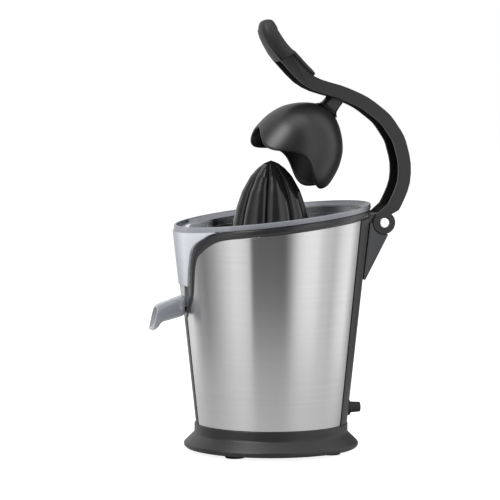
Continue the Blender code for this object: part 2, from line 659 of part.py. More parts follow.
def hood(lever_body, dark):
    """Egg-shaped press hood with a four-lobed rim, and the stem that carries it."""
    at = (PIVOT[0], 0, PIVOT[1])
    place = hood_frame()
    out, inn = hood_profile()

    def section(deg):
        edge = LOBE * math.cos(math.radians(4 * deg))
        def lift(points):
            return [(r, s + (edge * (1 - s / (.46 * HOOD_H)) ** 2 if s < .46 * HOOD_H else 0))
                    for r, s in points]
        return ([(0, HOOD_H)] + lift(out)[::-1]
                + [(HOOD_R - .0004, edge), (HOOD_R - HOOD_WALL + .0004, edge)]
                + lift(inn) + [(0, HOOD_H - HOOD_WALL)])

    verts, faces = shell([7.5 * k for k in range(48)], section, True)
    verts = [tuple(place @ Vector(p)) for p in verts]
    cap = node("press_hood", verts, faces, dark, lever_body, at)
    w = STEM_W / 2
    low, high, cant = HOOD_H - .0030, STEM_TOP + GAP - ARM_T / 2, .0024
    top = [(-w, high - cant), (w, high + cant)]
    side = [(-w - .001, low - .0020), (w + .001, low - .0020), (w, low + .004), top[1], top[0],
            (-w, low + .004)]
    verts, faces = slab(side, -w, w)
    combine(cap, [([tuple(place @ Vector(p)) for p in verts], faces)], 'UNION', "stem")


def main():
    """Everything on the machine, piece by piece."""
    for obj in list(bpy.data.objects):
        bpy.data.objects.remove(obj, do_unlink=True)
    dark = look("charcoal plastic", (.035, .035, .038), rough=.5)
    gloss = look("gloss black plastic", (.012, .012, .013), rough=.12)
    soft = look("soft grip", (.02, .02, .021), rough=.75)
    rubber = look("foot rubber", (.015, .015, .015), rough=.9)
    steel = look("brushed steel", (.62, .61, .59), 1.0, .3)
    pin = look("bright steel", (.72, .72, .72), 1.0, .18)
    clear = look("clear tinted plastic", (.62, .68, .76), rough=.08, alpha=.5)
    white = look("white nylon", (.78, .78, .75), rough=.45)
    brass = look("brass", (.72, .55, .25), 1.0, .3)
    red = look("red plastic", (.45, .03, .03), rough=.4)

    root = empty("juicer", (DRIVE_X, 0, 0))
    counter, motor = axes()
    lever_body = empty("lever_axis", (PIVOT[0], 0, PIVOT[1]), root)
    swing = empty("spout_axis", (SPOUT_PIVOT[0], 0, SPOUT_PIVOT[1]), root)
    out_body = empty("output_axis", (0, 0, 0), root)
    counter_body = empty("counter_axis", (*counter, 0), root)
    motor_body = empty("motor_axis", (*motor, 0), root)

    base(root, dark, rubber, pin)
    cladding(root, steel, dark)
    bowl(root, dark, clear, white)
    spout(swing, clear)
    gears(root, out_body, counter_body, motor_body, dark, pin, white, brass)
    press_parts(root, out_body, root, gloss, pin, red)
    bracket(root, dark, pin)
    lever(lever_body, dark, soft)
    hood(lever_body, dark)
    gland_z = .036
    face = body_r(gland_z) + .0005 + GAP
    gland = [(.0032, face + .0008), (.0075, face + .0008), (.0075, face + .003),
             (.0052, face + .004), (.0046, face + .013), (.0032, face + .013)]
    node("cord_gland", *lying(gland, 24, (0, 0, gland_z), "X"), soft, root)


main()
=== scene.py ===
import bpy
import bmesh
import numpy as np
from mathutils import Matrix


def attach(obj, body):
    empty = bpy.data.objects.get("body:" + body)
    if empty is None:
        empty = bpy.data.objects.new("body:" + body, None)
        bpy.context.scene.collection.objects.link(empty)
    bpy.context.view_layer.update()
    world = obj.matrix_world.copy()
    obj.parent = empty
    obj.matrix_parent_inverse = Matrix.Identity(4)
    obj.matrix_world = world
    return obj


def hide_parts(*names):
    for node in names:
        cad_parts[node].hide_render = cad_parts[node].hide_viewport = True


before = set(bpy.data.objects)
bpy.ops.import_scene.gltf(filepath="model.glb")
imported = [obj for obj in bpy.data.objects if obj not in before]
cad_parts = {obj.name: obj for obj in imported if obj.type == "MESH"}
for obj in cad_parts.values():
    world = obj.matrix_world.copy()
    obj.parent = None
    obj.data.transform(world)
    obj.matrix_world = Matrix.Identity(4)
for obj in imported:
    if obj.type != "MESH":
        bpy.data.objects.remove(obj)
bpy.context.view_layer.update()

# %% [markdown]
# # A citrus press juicer, piece by piece
#
# The frame above is the measured machine: every solid in its place, in metres, with its
# joints.  This lesson gives it its looks.  Each visible shell is worked out again as a
# smooth surface on a grid, and each hidden solid keeps its shape and gets a finish.
#
# Everything round on this machine is drawn about one upright line, the drive axis, so that
# comes first.  Angles are counted in degrees from the front, where the spout is.

AXIS_X = -0.0085


def place(r, deg, z):
    """Points at radius r, angle deg and height z about the drive axis:
    x = axis - r cos(angle), y = -r sin(angle)."""
    r, deg, z = np.broadcast_arrays(np.asarray(r, float), deg, z)
    t = np.radians(deg)
    return np.stack([AXIS_X - r * np.cos(t), -r * np.sin(t), z], axis=-1)


def grid_faces(rows, cols, close_rows, close_cols):
    """Four corner numbers for each cell of a rows x cols grid of points."""
    i = np.arange(rows if close_rows else rows - 1)[:, None]
    j = np.arange(cols if close_cols else cols - 1)[None, :]
    i2, j2 = (i + 1) % rows, (j + 1) % cols
    cell = [i * cols + j, i2 * cols + j, i2 * cols + j2, i * cols + j2]
    return np.stack(np.broadcast_arrays(*cell), axis=-1).reshape(-1, 4)


def piece(name, grid, finish, body, stands_for=(), close_rows=False,
          close_cols=True, fill=False, sharp=38.0):
    """A mesh from a grid of points (rows, cols, 3).  close_rows joins the last row to the
    first; fill closes the two end rows.  Doubles are merged and normals turned outwards."""
    rows, cols = grid.shape[:2]
    faces = grid_faces(rows, cols, close_rows, close_cols).tolist()
    if fill:
        faces += [list(range(cols)), list(range((rows - 1) * cols, rows * cols))]
    mesh = bpy.data.meshes.new(name)
    mesh.from_pydata(grid.reshape(-1, 3).tolist(), [], faces)
    return finish_mesh(name, mesh, finish, body, stands_for, sharp)


def finish_mesh(name, mesh, finish, body, stands_for=(), sharp=38.0):
    """Clean a mesh, shade it smooth but for its sharp edges, and let it ride on a body."""
    bm = bmesh.new()
    bm.from_mesh(mesh)
    bmesh.ops.remove_doubles(bm, verts=bm.verts, dist=2e-6)
    bmesh.ops.recalc_face_normals(bm, faces=bm.faces)
    bm.to_mesh(mesh)
    bm.free()
    mesh.shade_smooth()
    mesh.set_sharp_from_angle(angle=np.radians(sharp))
    mesh.materials.append(finish)
    obj = bpy.data.objects.new(name, mesh)
    bpy.context.scene.collection.objects.link(obj)
    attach(obj, body)
    if stands_for:
        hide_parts(*stands_for)
    print(f"{name}: {len(mesh.polygons)} faces")
    return obj

# %% [markdown]
# ## Finishes
#
# A finish is a small network of nodes: a colour, how rough the surface is, and a fine
# height pattern.  All of them read Object coordinates, so a pattern sits still on its piece.
# One helper makes the usual moulded plastic: a fine noise lifts and lowers the surface by
# a hair, and a slower noise varies the gloss, as handling does.

# %% Moulded plastic, rubber and clear plastic


def new_finish(name):
    """An empty finish with its shader, and a short way to add and join nodes."""
    mat = bpy.data.materials.new(name)
    mat.use_nodes = True
    tree = mat.node_tree
    shader = tree.nodes["Principled BSDF"]

    def add(kind, links=(), **settings):
        made = tree.nodes.new(kind)
        for key, value in settings.items():
            if hasattr(made, key):
                setattr(made, key, value)
            else:
                made.inputs[key.replace("_", " ")].default_value = value
        for socket, source in dict(links).items():
            tree.links.new(source, made.inputs[socket])
        return made

    return mat, tree, shader, add


def grain_height(tree, shader, add, where, scale, depth):
    """Fine noise as a height on the surface."""
    noise = add("ShaderNodeTexNoise", {"Vector": where}, Scale=scale, Detail=3.0)
    bump = add("ShaderNodeBump", {"Height": noise.outputs["Fac"]}, Strength=1.0,
               Distance=depth)
    tree.links.new(bump.outputs["Normal"], shader.inputs["Normal"])
    return bump


def between_values(tree, add, factor, low, high, socket):
    """Lead a 0 to 1 value to a socket, stretched to run from low to high."""
    reach = add("ShaderNodeMapRange", {"Value": factor}, To_Min=low, To_Max=high)
    tree.links.new(reach.outputs["Result"], socket)


def moulded(name, colour, rough=(.38, .48), grain=2600.0, depth=.00002, metal=0.0,
            wear=.25, coat=0.0):
    """Moulded or painted surface: slow change of colour and gloss, and a fine grain."""
    mat, tree, shader, add = new_finish(name)
    where = add("ShaderNodeTexCoord").outputs["Object"]
    slow = add("ShaderNodeTexNoise", {"Vector": where}, Scale=42.0, Detail=5.0)
    between_values(tree, add, slow.outputs["Fac"], *rough, shader.inputs["Roughness"])
    pale = [min(1.0, c * (1 + wear) + .002) for c in colour]
    mix = add("ShaderNodeMix", data_type="RGBA")
    tree.links.new(slow.outputs["Fac"], mix.inputs[0])
    mix.inputs[6].default_value = (*colour, 1)
    mix.inputs[7].default_value = (*pale, 1)
    tree.links.new(mix.outputs[2], shader.inputs["Base Color"])
    shader.inputs["Metallic"].default_value = metal
    shader.inputs["Coat Weight"].default_value = coat
    grain_height(tree, shader, add, where, grain, depth)
    return mat


def clear_plastic(name, tint, rough=.04, haze=0.0, edge=(.10, .13, .22)):
    """Clear polycarbonate: light passes through, and a share of haze scatters it.  Seen
    edge on, the colour turns to the edge colour: a darker one deepens the tint, as the
    thick plastic does there; a paler one is a painted sheen along the edges.  Fine scuffs
    vary the gloss."""
    mat, tree, shader, add = new_finish(name)
    where = add("ShaderNodeTexCoord").outputs["Object"]
    scuff = add("ShaderNodeTexNoise", {"Vector": where}, Scale=180.0, Detail=6.0)
    between_values(tree, add, scuff.outputs["Fac"], rough * .5, rough * 1.6,
                   shader.inputs["Roughness"])
    turned_away = add("ShaderNodeLayerWeight", Blend=.5)
    late = add("ShaderNodeMapRange", {"Value": turned_away.outputs["Facing"]},
               From_Min=.55, From_Max=.90)
    # Edge on, the colour turns to the edge colour: a darker one deepens the tint, a paler one is a
    # painted sheen
    grazing_tint_and_sheen = add("ShaderNodeMix", data_type="RGBA")
    tree.links.new(late.outputs["Result"], grazing_tint_and_sheen.inputs[0])
    grazing_tint_and_sheen.inputs[6].default_value = (*tint, 1)
    grazing_tint_and_sheen.inputs[7].default_value = (*edge, 1)
    tree.links.new(grazing_tint_and_sheen.outputs[2], shader.inputs["Base Color"])
    shader.inputs["Transmission Weight"].default_value = 1.0 - haze
    shader.inputs["IOR"].default_value = 1.49
    grain_height(tree, shader, add, where, 60.0, .00004)
    return mat


charcoal = moulded("charcoal plastic", (.010, .010, .011))
trim_black = moulded("trim plastic", (.022, .022, .024), rough=(.18, .26), depth=.00001)
bracket_grey = moulded("bracket plastic", (.050, .051, .055), rough=(.42, .52))
arm_black = moulded("arm plastic", (.008, .008, .0088), rough=(.40, .50))
satin_black = moulded("hood plastic", (.009, .009, .0095), rough=(.32, .39), depth=.000012)
gloss_black = moulded("gloss black plastic", (.012, .012, .013), rough=(.05, .10),
                      depth=.000006)
soft_black = moulded("soft grip", (.008, .008, .0085), rough=(.52, .62), depth=.00003)
foot_rubber = moulded("foot rubber", (.014, .014, .014), rough=(.8, .92), depth=.00005)
white_nylon = moulded("white nylon", (.72, .72, .69), rough=(.4, .5), wear=.05)
red_plastic = moulded("red plastic", (.42, .03, .03), rough=(.3, .4))
# %% [markdown]
# ### The plastic of the bowl
#
# One finish covers the whole bowl, but two places look fuller than plain clear plastic: the
# frosted window, and the bead, which is made less clear and painted dark blue as painted
# shade for the dark look of the solid rim.  Each is picked out by a rule on the position:
# distance to the front for the window, height above a sloping plane for the bead.

# %% Clear plastic with a frosted window and a bead painted dark as shade


def bowl_plastic(name):
    """Clear plastic with two fuller places.  The window at the front is lightly frosted:
    haze grows from x = -45 mm to -65 mm.  The bead, all that lies above z - 0.112 x =
    210 mm, is made less clear and painted dark blue: painted shade for the dark look of
    the solid rim."""
    mat = clear_plastic(name, (.90, .92, .98))
    tree = mat.node_tree
    shader = tree.nodes["Principled BSDF"]
    where = tree.nodes.new("ShaderNodeTexCoord").outputs["Object"]
    kinds = ("SeparateXYZ", "VectorMath", "MapRange", "MapRange", "Math", "Math", "Mix")
    split, plane, front, above, most, rest, mix = (
        tree.nodes.new("ShaderNode" + kind) for kind in kinds)
    plane.operation, most.operation, rest.operation = "DOT_PRODUCT", "MAXIMUM", "SUBTRACT"
    mix.data_type = "RGBA"
    plane.inputs[1].default_value = (-.112, 0, 1)
    tree.links.new(where, split.inputs[0])
    tree.links.new(where, plane.inputs[0])
    for reach, source, span in ((front, split.outputs["X"], (-.045, -.065, 0, .78)),
                                (above, plane.outputs["Value"], (.2098, .2102, 0, .60))):
        tree.links.new(source, reach.inputs["Value"])
        for socket, value in zip(("From Min", "From Max", "To Min", "To Max"), span):
            reach.inputs[socket].default_value = value
    tree.links.new(front.outputs["Result"], most.inputs[0])
    tree.links.new(above.outputs["Result"], most.inputs[1])
    rest.inputs[0].default_value = 1.0
    tree.links.new(most.outputs["Value"], rest.inputs[1])
    tree.links.new(rest.outputs["Value"], shader.inputs["Transmission Weight"])
    tree.links.new(above.outputs["Result"], mix.inputs[0])
    tree.links.new(shader.inputs["Base Color"].links[0].from_socket, mix.inputs[6])
    # Painted shade: the bead's dark blue colour, with its lower clearness, stands in for the dark
    # look of the thick clear rim
    mix.inputs[7].default_value = (.030, .038, .062, 1)
    tree.links.new(mix.outputs[2], shader.inputs["Base Color"])
    return mat


clear_bowl = bowl_plastic("clear bowl plastic")
# The spout's near-white edge colour is a painted sheen along its edges where they are seen edge on
clear_spout = clear_plastic("clear spout plastic", (.50, .52, .56), .06, haze=.35,
                            edge=(.95, .96, 1.0))
print("finishes so far:", len(bpy.data.materials))

# %% [markdown]
# ## Brushed steel
#
# The cladding is sheet steel brushed round the body.  Each scratch is a groove that runs
# level, so the noise is stretched: hardly any change round the body and a quick change
# upwards.  The grooves also bend reflections up and down, which anisotropy does: its
# tangent runs round the drive axis.

# %% Brushed and turned metal


def brushed_steel(name, colour=(.60, .60, .60)):
    """Level brushing: noise on height with a little drift round the body."""
    mat, tree, shader, add = new_finish(name)
    where = add("ShaderNodeTexCoord").outputs["Object"]
    stretch = add("ShaderNodeMapping", {"Vector": where}, Scale=(26.0, 26.0, 5200.0))
    fine = add("ShaderNodeTexNoise", {"Vector": stretch.outputs["Vector"]}, Scale=1.0,
               Detail=5.0, Roughness=.65)
    wide = add("ShaderNodeMapping", {"Vector": where}, Scale=(9.0, 9.0, 620.0))
    broad = add("ShaderNodeTexNoise", {"Vector": wide.outputs["Vector"]}, Scale=1.0,
                Detail=3.0)
    between_values(tree, add, fine.outputs["Fac"], .14, .27, shader.inputs["Roughness"])
    mix = add("ShaderNodeMix", data_type="RGBA")
    tree.links.new(broad.outputs["Fac"], mix.inputs[0])
    mix.inputs[6].default_value = (*[c * .95 for c in colour], 1)
    mix.inputs[7].default_value = (*[min(1, c * 1.04) for c in colour], 1)
    tree.links.new(mix.outputs[2], shader.inputs["Base Color"])
    bump = add("ShaderNodeBump", {"Height": fine.outputs["Fac"]}, Strength=.35,
               Distance=.00003)
    tree.links.new(bump.outputs["Normal"], shader.inputs["Normal"])
    tangent = add("ShaderNodeTangent", direction_type="UV_MAP", uv_map="wrap")
    tree.links.new(tangent.outputs["Tangent"], shader.inputs["Tangent"])
    shader.inputs["Metallic"].default_value = 1.0
    shader.inputs["Anisotropic"].default_value = 0.9
    shader.inputs["Anisotropic Rotation"].default_value = 0.25
    return mat


def machined(name, colour, rough=(.14, .26)):
    """Turned or drawn metal with faint tool marks."""
    return moulded(name, colour, rough=rough, grain=900.0, depth=.000006, metal=1.0, wear=.06)


panel_steel = brushed_steel("panel steel")
bright_steel = machined("bright steel", (.74, .74, .73))
pin_steel = machined("pin steel", (.90, .90, .90), (.30, .40))
brass = machined("brass", (.70, .53, .24), (.22, .34))

# %% [markdown]
# ## The shape of the body
#
# The body is a cone that widens upwards.  The rim is cut by a plane that rises towards the
# hinge, and at the front a tulip-shaped opening dips down to the spout.  A black band, the
# trim, follows that edge, so its two edges are the lines that everything else stops at.
# A few corner points carried on a smooth cubic curve give both.

# %% Body radius, rim plane and the two edges of the trim


def body_r(z):
    """Radius of the steel: 65.6 mm plus 0.107 of the height."""
    return 0.0656 + 0.107 * np.asarray(z, float)


def rim(deg):
    """Height of the rim plane: 214 mm less 0.112 of the reach to the front."""
    return 0.214 - 0.112 * 0.088 * np.cos(np.radians(deg))


def curve_through(points, steps):
    """Smooth curve through points: on each span the cubic whose end slopes are half the
    difference of the neighbours, worked out for all spans at once."""
    p = np.asarray(points, float)
    p = np.vstack([2 * p[0] - p[1], p, 2 * p[-1] - p[-2]])
    a, b, c, d = (p[k:len(p) - 3 + k, None, :] for k in range(4))
    t = (np.arange(steps) / steps)[None, :, None]
    out = 0.5 * (2 * b + (c - a) * t + (2 * a - 5 * b + 4 * c - d) * t ** 2
                 + (3 * b - a - 3 * c + d) * t ** 3)
    return np.vstack([out.reshape(-1, p.shape[1]), p[-2]])


# rows: angle and height on the opening, then angle and height at the foot of the trim
HALF_BAND = [(0, .1265, 0, .1186), (4.0, .1284, 4.6, .1222), (7.2, .1326, 9.4, .1287),
             (10.4, .1389, 14.6, .1357), (12.7, .1472, 18.3, .1448), (14.2, .1565, 20.6, .1570),
             (16.3, .1660, 22.2, .1665), (18.6, .1748, 23.9, .1734), (21.2, .1834, 26.4, .1793),
             (25.4, .1893, 30.4, .1838), (32.0, .1944, 36.0, .1889), (40.0, .1998, 43.0, .1937)]
HALF_BAND += [(a, rim(a) - .005, a, rim(a) - .0115) for a in (52, 66, 84, 104, 126, 150, 180)]
half = curve_through(HALF_BAND, 8)
other = half[-2:0:-1] * np.array([-1, 1, -1, 1]) + np.array([360, 0, 360, 0])
band = np.vstack([half, other])
print("trim edge:", len(band), "stations")


def edge_height(deg, column):
    """Height of an edge of the trim at an angle, read off the smooth curve."""
    deg = np.asarray(deg, float) % 360
    fold = np.minimum(deg, 360 - deg)
    return np.interp(fold, half[:, column - 1], half[:, column])

# %% [markdown]
# ## Trim
#
# The band is a strip between its two edges.  Across the strip it swells out by 0.9 mm and
# rolls over at both sides, so it catches a thin light along its top.  Its back sits in the
# wall.

# %% The black trim band


def trim_grid():
    """Each station is a closed loop: over the face from the opening to the foot, then back
    behind the wall.  Face rise = 1.1 mm x (1 - |2s - 1|^3) - 0.2 mm."""
    s = 0.5 - 0.5 * np.cos(np.linspace(0, np.pi, 15))
    rise = .0011 * (1 - np.abs(2 * s - 1) ** 3) - .0002
    s = np.concatenate([s, [1, 0]])
    depth = np.concatenate([rise, [-.0030, -.0030]])
    deg = band[:, None, 0] + (band[:, None, 2] - band[:, None, 0]) * s
    z = band[:, None, 1] + (band[:, None, 3] - band[:, None, 1]) * s
    return place(body_r(z) + depth, deg, z)


piece("trim_band", trim_grid(), trim_black, "base", ["top_trim"],
      close_rows=True)

# %% [markdown]
# ## Steel panels, front column and back cover
#
# Each panel is one bent sheet from the base to the trim.  A panel's grid runs round the
# body and up it; its top row follows the foot of the trim.  The black column at the front
# and the cover at the back close the gap between the two sheets.

# %% The wall of the body


def sheet_grid(start, stop, count, rows, outer, inner, foot=.0253, round_edge=.0004):
    """Closed section at each angle: up the outer face, over a rounded top, down the inner."""
    deg = np.linspace(start, stop, count)[:, None]
    top = edge_height(deg, 3) - .0001
    up = np.linspace(0, 1, rows)[None, :]
    z_out = foot + (top - round_edge - foot) * up
    z_in = z_out[:, ::-1]
    face = place(body_r(z_out) + outer, deg, z_out)
    crest = place(body_r(top) + outer - round_edge, deg, top)
    back = place(body_r(z_in) + inner, deg, z_in)
    return np.concatenate([face, crest, back], axis=1)


def add_wrap_uv(obj):
    """UV map: u is the angle about the drive axis, v the height, so u runs along the
    brushing."""
    mesh = obj.data
    co = np.empty(len(mesh.vertices) * 3)
    mesh.vertices.foreach_get("co", co)
    co = co.reshape(-1, 3)
    turn = np.arctan2(co[:, 1], -(co[:, 0] - AXIS_X)) / (2 * np.pi)
    loops = np.empty(len(mesh.loops), int)
    mesh.loops.foreach_get("vertex_index", loops)
    uv = np.stack([turn[loops] * .5, co[loops, 2]], axis=1)
    mesh.uv_layers.new(name="wrap").data.foreach_set("uv", uv.ravel())


for side, sign in (("left", 1), ("right", -1)):
    sheet = piece(f"sheet_{side}", sheet_grid(sign * 3.45, sign * 141.3, 140, 24, 0, -.0008),
                  panel_steel, "base", [f"steel_panel_{side}"], fill=True)
    add_wrap_uv(sheet)
piece("column", sheet_grid(-3.3, 3.3, 13, 10, .0004, -.0008), charcoal, "base",
      ["front_column"], fill=True)
piece("rear_cover", sheet_grid(141.6, 218.4, 60, 12, .0006, -.0008, round_edge=.0005),
      charcoal, "base", ["back_cover"], fill=True)

# %% [markdown]
# ## Base
#
# The skirt is turned: one outline spun about the drive axis.  Its corners carry small
# arcs, because the light that runs round a base is the light on its edges.

# %% The base skirt


def soften(outline, radius, steps=4):
    """Round each corner of a closed outline with a quadratic curve that starts and ends a
    radius away from the corner, or 0.45 of the shorter side."""
    p = np.asarray(outline, float)
    before, after = np.roll(p, 1, axis=-2) - p, np.roll(p, -1, axis=-2) - p
    la = np.linalg.norm(before, axis=-1, keepdims=True)
    lb = np.linalg.norm(after, axis=-1, keepdims=True)
    a = (p + before / la * np.minimum(radius, .45 * la))[..., None, :]
    b = (p + after / lb * np.minimum(radius, .45 * lb))[..., None, :]
    t = np.linspace(0, 1, steps + 1)[:, None]
    out = (1 - t) ** 2 * a + 2 * t * (1 - t) * p[..., None, :] + t ** 2 * b
    return out.reshape(*p.shape[:-2], -1, p.shape[-1])


def turned_grid(outline, count, centre=(AXIS_X, 0.0)):
    """A closed outline of (radius, height) spun about an upright line."""
    outline = np.asarray(outline, float)
    deg = (np.arange(count) * 360 / count)[:, None]
    grid = place(outline[None, :, 0], deg, outline[None, :, 1])
    return grid + np.array([centre[0] - AXIS_X, centre[1], 0])


skirt = [(.0772, .0030), (.0790, .0046), (.0790, .0072), (.0700, .0160), (.0695, .0175),
         (.0695, .0250), (.0675, .0250), (.0675, .0178), (.0755, .0098), (.0755, .0030)]
piece("skirt", turned_grid(soften(skirt, .0009), 144), charcoal, "base", ["base_skirt"],
      close_rows=True)

# %% [markdown]
# ## Juice bowl
#
# The bowl is one clear moulding: a bead that rests on the trim, a window that fills the
# opening at the front and stands 2 mm proud, a wall that drops inside the housing, a floor
# that falls towards the spout, and a chimney that the drive shaft comes up through.  At
# every angle it is one closed outline, so the grid is outlines round the axis.

# %% The clear bowl


def bowl_outlines(deg):
    """Closed (radius, height) outline of the bowl at each angle."""
    fold = np.minimum(deg % 360, 360 - deg % 360)
    top = rim(deg)
    ledge = top - .0047
    window = fold <= 42.05
    foot = np.where(window, np.maximum(.151, edge_height(fold + .35, 1) + .0003), ledge)
    foot = np.minimum(foot, ledge - .0002)
    step = np.where(window, foot - .0001, foot - .002)
    proud = np.where(window, .0020, -.0039)
    tilt = .11 * np.cos(np.radians(deg))
    low = .1375 - tilt * .0803 - .0022
    core, tube = .0073, .0095
    inner = np.where(window, -.0002, -.0061)
    z1 = np.where(window, foot + .0022, top - .009)
    z2 = np.where(window, foot + .0026, ledge + .0002)
    z3 = np.where(window, top - .0024, top - .0014)
    flare = np.where(window, -.0002, -.0024)
    rows = [(body_r(top) + .0003, top), (body_r(top) + .0003, ledge),
            (body_r(ledge) + proud, ledge - .0001), (body_r(foot) + proud, foot),
            (body_r(step) - .0039, step), (body_r(low) - .0039, low),
            (tube + 0 * top, .1375 - tilt * tube - .0022),
            (core + 0 * top, .1375 - tilt * tube - .0022), (core + 0 * top, .182 + 0 * top),
            (tube + 0 * top, .182 + 0 * top), (tube + 0 * top, .1375 - tilt * tube),
            (body_r(low) - .0061, low + .0022), (body_r(z1) - .0061, z1),
            (body_r(z2) + inner, z2), (body_r(z3) + flare, z3),
            (body_r(top) - .0022, top)]
    return np.stack([np.stack(row, axis=-1) for row in rows], axis=1)


def nozzle_grid():
    """A short square-cornered tube: outer loop front and back, then the hole's loops."""
    rows = []
    for x, y0, z0, z1 in ((-.0818, .0084, .1320, .1508), (-.0750, .0084, .1320, .1508),
                          (-.0750, .0068, .1336, .1409), (-.0818, .0068, .1336, .1409)):
        corner = soften([(-y0, z0), (y0, z0), (y0, z1), (-y0, z1)], .0012, 5)
        rows.append(np.column_stack([AXIS_X + x + 0 * corner[:, 0], corner]))
    return np.array(rows)


front = np.concatenate([np.arange(0, 42.1, .7), [42.2, 43.0], np.arange(45, 180, 2.5)])
around = np.concatenate([front, [180], 360 - front[:0:-1]])
outlines = soften(bowl_outlines(around), .0008, 3)
piece("bowl_shell", place(outlines[..., 0], around[:, None], outlines[..., 1]), clear_bowl,
      "base", ["juice_bowl"], close_rows=True, sharp=50)
piece("outlet_nozzle", nozzle_grid(), clear_spout, "base",
      close_rows=True)

# %% [markdown]
# ## Spout
#
# The spout is an arched channel that falls away from the bowl and is cut back to a beak.
# A section is a flat floor, two upright sides and an arch; the stations lean so that the
# last one lies in the cut.  Outer stations run out and inner ones run back, which closes
# the wall round the mouth.

# %% The clear spout


def arch_section(half, count=28):
    """(across, share of height) of a channel section: superellipse above mid height,
    flat floor with small corners below."""
    t = np.linspace(0, np.pi, count)
    roof = np.stack([half * np.sign(np.cos(t)) * np.abs(np.cos(t)) ** .55,
                     .50 + .50 * np.sin(t) ** .9], axis=1)
    floor = np.array([[-half, .14], [-half * .93, .035], [-half * .8, 0], [0, 0],
                      [half * .8, 0], [half * .93, .035], [half, .14]])
    return np.vstack([roof, floor])


def spout_grid():
    """Rows: outer stations from root to beak, then inner stations back to the root."""
    crown = curve_through([(-.0822, .1419), (-.0850, .1412), (-.0950, .1378), (-.1015, .1355),
                           (-.1046, .1342), (-.1058, .1332)], 5)
    sole = curve_through([(-.0822, .1262), (-.0846, .1238), (-.0950, .1209), (-.1026, .1187),
                          (-.1064, .1140), (-.1108, .1113)], 5)
    wall = .0018
    rows = []
    for half, inset, order in ((.0110, 0.0, 1), (.0110 - wall, wall, -1)):
        across, share = arch_section(half).T
        tall = np.linalg.norm(crown - sole, axis=1, keepdims=True)
        low = sole + (crown - sole) / tall * inset
        high = crown - (crown - sole) / tall * inset
        xz = low[:, None, :] + (high - low)[:, None, :] * share[None, :, None]
        y = np.broadcast_to(across, xz.shape[:2])
        rows.append(np.stack([AXIS_X + xz[..., 0], y, xz[..., 1]], axis=-1)[::order])
    return np.concatenate(rows)


piece("spout_channel", spout_grid(), clear_spout, "spout", ["drip_spout"],
      close_rows=True, sharp=42)

# %% [markdown]
# ## Reamer and strainer
#
# The reamer is a dome with eight ribs.  Its radius is the dome's, less a groove that is
# deepest half way between ribs; the power on the wave makes the ribs broad and the grooves narrow.

# %% The ribbed reamer


def reamer_grid(count=240, rows=46):
    """radius = dome(height) - depth(height) x (1 - wave^0.4), wave = |cos(4 x angle)|."""
    deg = (np.arange(count) * 360 / count)[:, None]
    share = np.sin(np.linspace(0, np.pi / 2, rows))[None, :]
    dome = np.interp(share, [0, .035, .09, .23, .40, .61, .80, .90, .965, 1],
                     [1, 1, .955, .905, .835, .70, .50, .33, .17, 0])
    wave = np.abs(np.cos(np.radians(4 * deg)))
    depth = .0056 * np.minimum(1, share / .10) * np.minimum(1, (1 - share) / .3)
    r = .038 * dome - depth * (1 - wave ** .4)
    z = .192 + .070 * share + 0 * deg
    skin = place(np.maximum(r, 0), deg, z)
    hollow = np.array([(.0345, .192), (.030, .198), (.0265, .210), (.0205, .226),
                       (.013, .236), (.009, .232), (.009, .195), (.0047, .195),
                       (.0047, .2135), (0, .2135)])
    under = place(hollow[None, :, 0], deg, hollow[None, :, 1])
    return np.concatenate([skin[:, ::-1], under], axis=1)


piece("ribbed_reamer", reamer_grid(), gloss_black, "reamer", ["reamer_cone"],
      close_rows=True, close_cols=False, sharp=60)

# %% [markdown]
# ## Press hood
#
# The hood is an egg turned about its own axis, which leans back over the bowl.  Its rim is
# a wave with four lobes: near the rim each circle is lifted by 7 mm x cos(4 x angle), and
# the lift dies away towards the crown.  A short square stem joins it to the lever.

# %% The hood and its stem
PIVOT = np.array([AXIS_X + 0.102, 0.0, 0.205])
LEAN = np.radians(38.0)
HOOD_AT = np.array([AXIS_X + 0.017, 0.0, 0.2626])


def lean_back(points):
    """From the hood's own frame to its place: turned about Y by the lean, then moved."""
    x, y, z = np.moveaxis(np.asarray(points, float), -1, 0)
    turned = np.stack([x * np.cos(LEAN) + z * np.sin(LEAN), y,
                       z * np.cos(LEAN) - x * np.sin(LEAN)], axis=-1)
    return turned + HOOD_AT


def hood_grid(count=192):
    """Outer egg from crown to rim, a rounded lip, then the inner wall back to the crown."""
    egg = curve_through([(0, 1.0), (.12, .985), (.255, .94), (.41, .875), (.565, .79),
                         (.705, .69), (.82, .58), (.90, .46), (.955, .34), (.985, .20),
                         (.9985, .08), (1.0, 0.0)], 4) * [.042, .059]
    inner = curve_through([(1.0, 0), (.9985, .08), (.98, .20), (.94, .34), (.88, .46),
                           (.79, .58), (.66, .69), (.50, .79), (.32, .87), (.15, .92),
                           (0, .93)], 4) * [.042, .059] - [.0025, 0]
    inner[:, 0] = np.maximum(inner[:, 0], 0)
    lip = np.array([(.0416, -.0007), (.0410, -.0010), (.0402, -.0007)])
    line = np.vstack([egg, lip, inner])
    deg = (np.arange(count) * 360 / count)[:, None]
    fade = np.clip(1 - line[:, 1] / .027, 0, 1)[None, :] ** 2
    z = line[None, :, 1] + .0066 * np.cos(np.radians(4 * deg)) * fade
    r = line[None, :, 0] + 0 * deg
    t = np.radians(deg)
    return lean_back(np.stack([-r * np.cos(t), -r * np.sin(t), z + 0 * deg], axis=-1))


piece("hood_shell", hood_grid(), satin_black, "lever", ["press_hood"],
      close_rows=True, close_cols=False, sharp=50)


def rounded_square(half, count=40, power=5.0):
    """Superellipse |x|^p + |y|^p = half^p, as (x, y) pairs."""
    t = np.arange(count) * 2 * np.pi / count
    c, s = np.cos(t), np.sin(t)
    return half * np.stack([np.sign(c) * np.abs(c) ** (2 / power),
                            np.sign(s) * np.abs(s) ** (2 / power)], axis=1)


